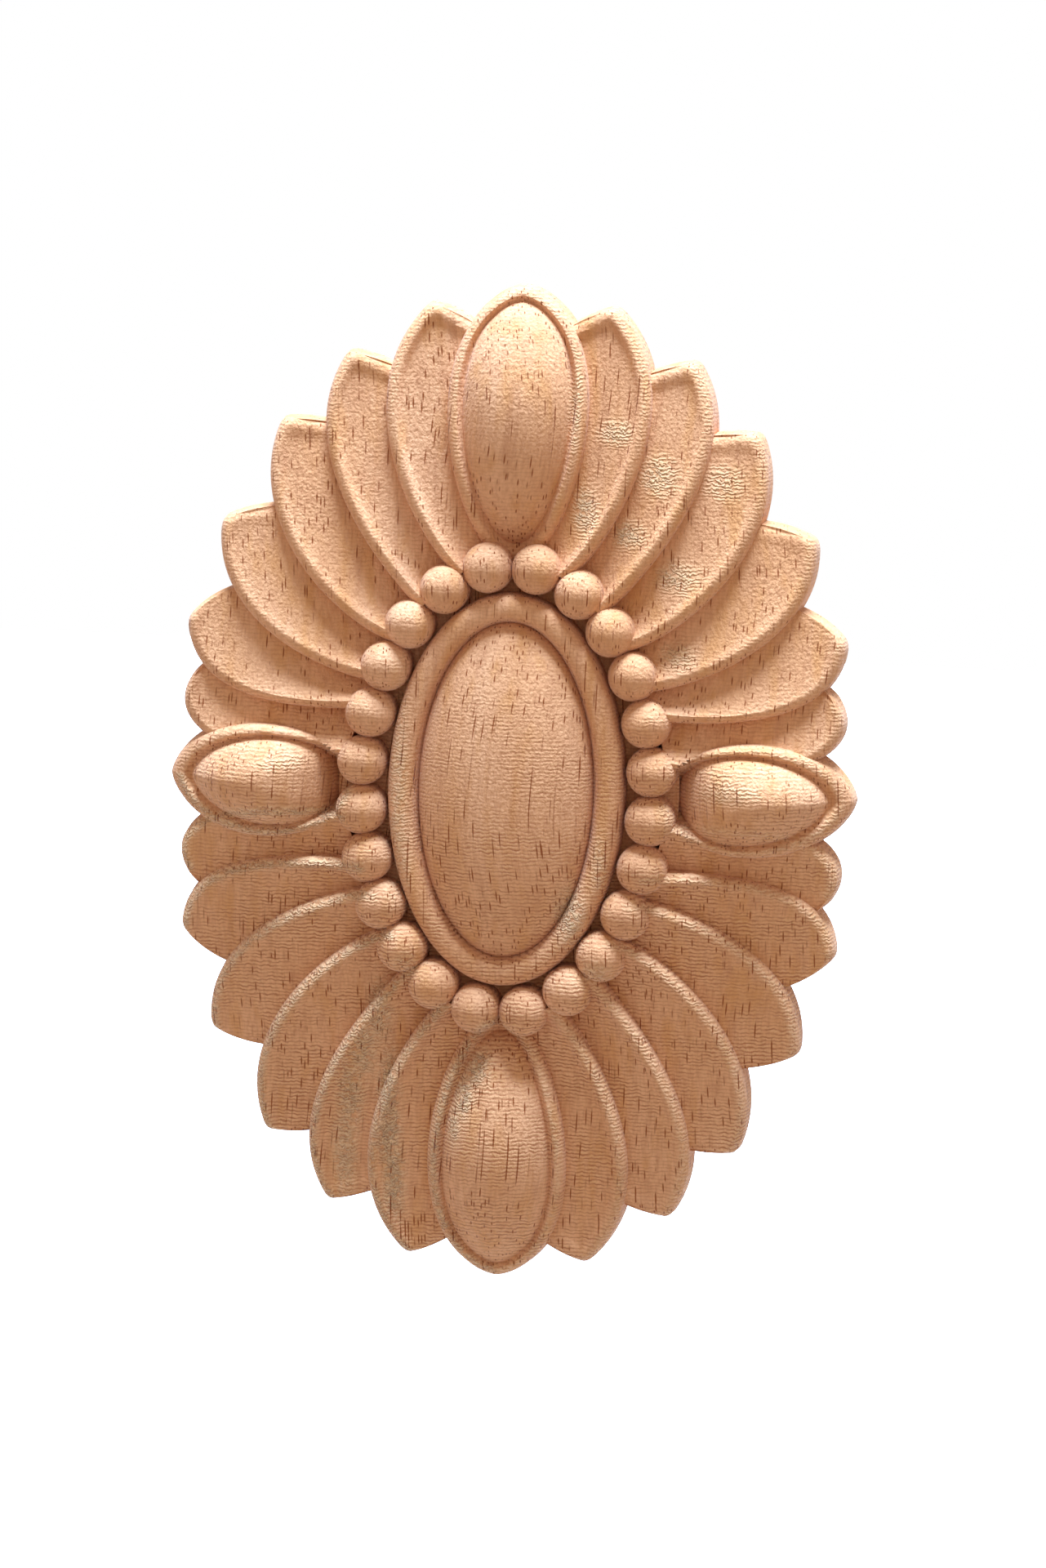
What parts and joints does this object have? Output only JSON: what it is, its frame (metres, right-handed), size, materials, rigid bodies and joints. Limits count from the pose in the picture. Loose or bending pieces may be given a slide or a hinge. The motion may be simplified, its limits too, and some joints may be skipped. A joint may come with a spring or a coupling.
{
  "type": "carved oval rosette applique",
  "caption": "Flat-backed oval wooden rosette with a smooth centre dome, a bead ring, scooped petals and four domed medallions, for gluing to a flat surface.",
  "frame": {"origin": "middle of the flat back face", "axes": "+Z along the long axis and the wood grain, +Y out of the back face into what the rosette is glued to, the carving faces -Y"},
  "size_m": [0.0832, 0.0112, 0.1202],
  "materials": {
    "pale_hardwood": "bare carved wood with tool lines and open pores, no varnish"
  },
  "bodies": {
    "root": {"carved_rosette": "pale_hardwood"}
  },
  "joints": []
}
